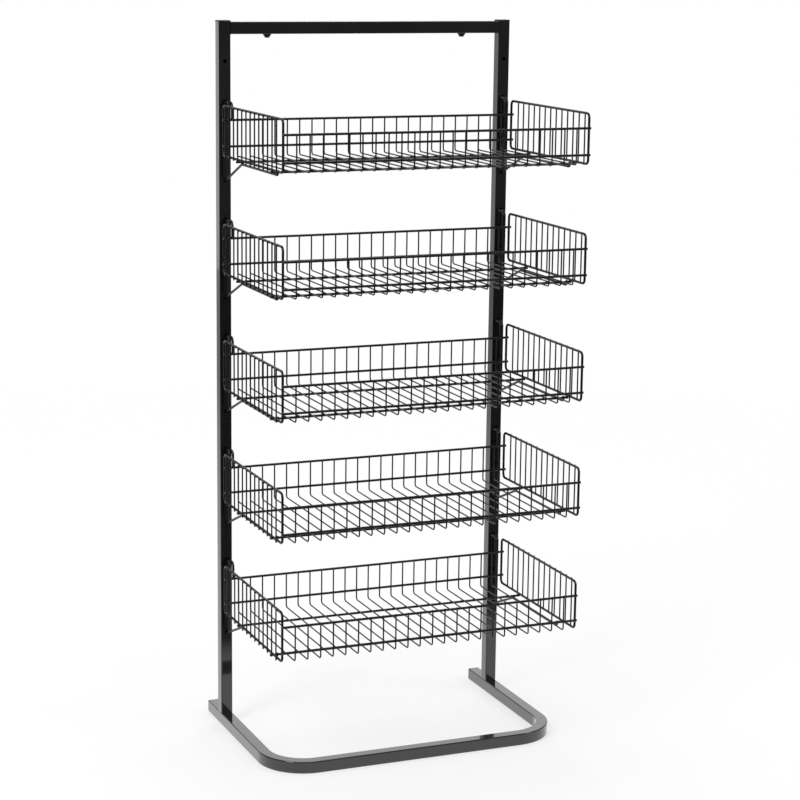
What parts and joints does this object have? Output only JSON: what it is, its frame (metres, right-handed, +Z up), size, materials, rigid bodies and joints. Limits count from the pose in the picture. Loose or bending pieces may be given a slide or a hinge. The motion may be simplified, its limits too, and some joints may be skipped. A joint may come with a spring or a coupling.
{
  "type": "wire basket display stand",
  "caption": "Free-standing shop stand on a bent tube base, with two uprights, a top rail and tiered open wire baskets that hook on and tilt up.",
  "frame": {"origin": "middle of the whole stand's footprint, on the floor", "axes": "+Z up, -Y towards the shopper (the baskets' front), +X to the right seen from the front"},
  "size_m": [0.6522, 0.4826, 1.4866],
  "materials": {
    "tube_coat": "gloss black powder coat",
    "wire_coat": "gloss black powder coat",
    "end_cap_plastic": "moulded black",
    "header_screw": "black moulded knob",
    "plain_steel": "zinc plated, hidden inside the tubes"
  },
  "bodies": {
    "frame": {"base_tube": "tube_coat", "leg_cap_left": "end_cap_plastic", "leg_cap_right": "end_cap_plastic", "lower_upright_left": "tube_coat", "lower_upright_right": "tube_coat", "upper_upright_left": "tube_coat", "upper_upright_right": "tube_coat", "upright_sleeve_left": "plain_steel", "upright_sleeve_right": "plain_steel", "top_rail": "tube_coat", "upright_cap_left": "end_cap_plastic", "upright_cap_right": "end_cap_plastic", "header_screws": "header_screw", "header_nuts": "plain_steel"},
    "basket_1": {"basket_1_end_frames": "wire_coat", "basket_1_end_wires": "wire_coat", "basket_1_front_rails": "wire_coat", "basket_1_back_rails": "wire_coat", "basket_1_cross_wires": "wire_coat", "basket_1_mesh_wires": "wire_coat", "basket_1_hanger_rods": "wire_coat", "basket_1_hook_braces": "wire_coat", "basket_1_support_arms": "wire_coat"},
    "basket_2": {"basket_2_end_frames": "wire_coat", "basket_2_end_wires": "wire_coat", "basket_2_front_rails": "wire_coat", "basket_2_back_rails": "wire_coat", "basket_2_cross_wires": "wire_coat", "basket_2_mesh_wires": "wire_coat", "basket_2_hanger_rods": "wire_coat", "basket_2_hook_braces": "wire_coat", "basket_2_support_arms": "wire_coat"},
    "basket_3": {"basket_3_end_frames": "wire_coat", "basket_3_end_wires": "wire_coat", "basket_3_front_rails": "wire_coat", "basket_3_back_rails": "wire_coat", "basket_3_cross_wires": "wire_coat", "basket_3_mesh_wires": "wire_coat", "basket_3_hanger_rods": "wire_coat", "basket_3_hook_braces": "wire_coat", "basket_3_support_arms": "wire_coat"},
    "basket_4": {"basket_4_end_frames": "wire_coat", "basket_4_end_wires": "wire_coat", "basket_4_front_rails": "wire_coat", "basket_4_back_rails": "wire_coat", "basket_4_cross_wires": "wire_coat", "basket_4_mesh_wires": "wire_coat", "basket_4_hanger_rods": "wire_coat", "basket_4_hook_braces": "wire_coat", "basket_4_support_arms": "wire_coat"},
    "basket_5": {"basket_5_end_frames": "wire_coat", "basket_5_end_wires": "wire_coat", "basket_5_front_rails": "wire_coat", "basket_5_back_rails": "wire_coat", "basket_5_cross_wires": "wire_coat", "basket_5_mesh_wires": "wire_coat", "basket_5_hanger_rods": "wire_coat", "basket_5_hook_braces": "wire_coat", "basket_5_support_arms": "wire_coat"}
  },
  "joints": [
    {"name": "basket_1_tilt", "type": "hinge", "parent": "frame", "child": "basket_1", "pos_m": [0, 0.14788, 1.3298], "axis": [-1, 0, 0], "range_deg": [0, 90]},
    {"name": "basket_2_tilt", "type": "hinge", "parent": "frame", "child": "basket_2", "pos_m": [0, 0.14788, 1.0898], "axis": [-1, 0, 0], "range_deg": [0, 18]},
    {"name": "basket_3_tilt", "type": "hinge", "parent": "frame", "child": "basket_3", "pos_m": [0, 0.14788, 0.8498], "axis": [-1, 0, 0], "range_deg": [0, 18]},
    {"name": "basket_4_tilt", "type": "hinge", "parent": "frame", "child": "basket_4", "pos_m": [0, 0.14788, 0.6098], "axis": [-1, 0, 0], "range_deg": [0, 18]},
    {"name": "basket_5_tilt", "type": "hinge", "parent": "frame", "child": "basket_5", "pos_m": [0, 0.14788, 0.3698], "axis": [-1, 0, 0], "range_deg": [0, 18]}
  ]
}
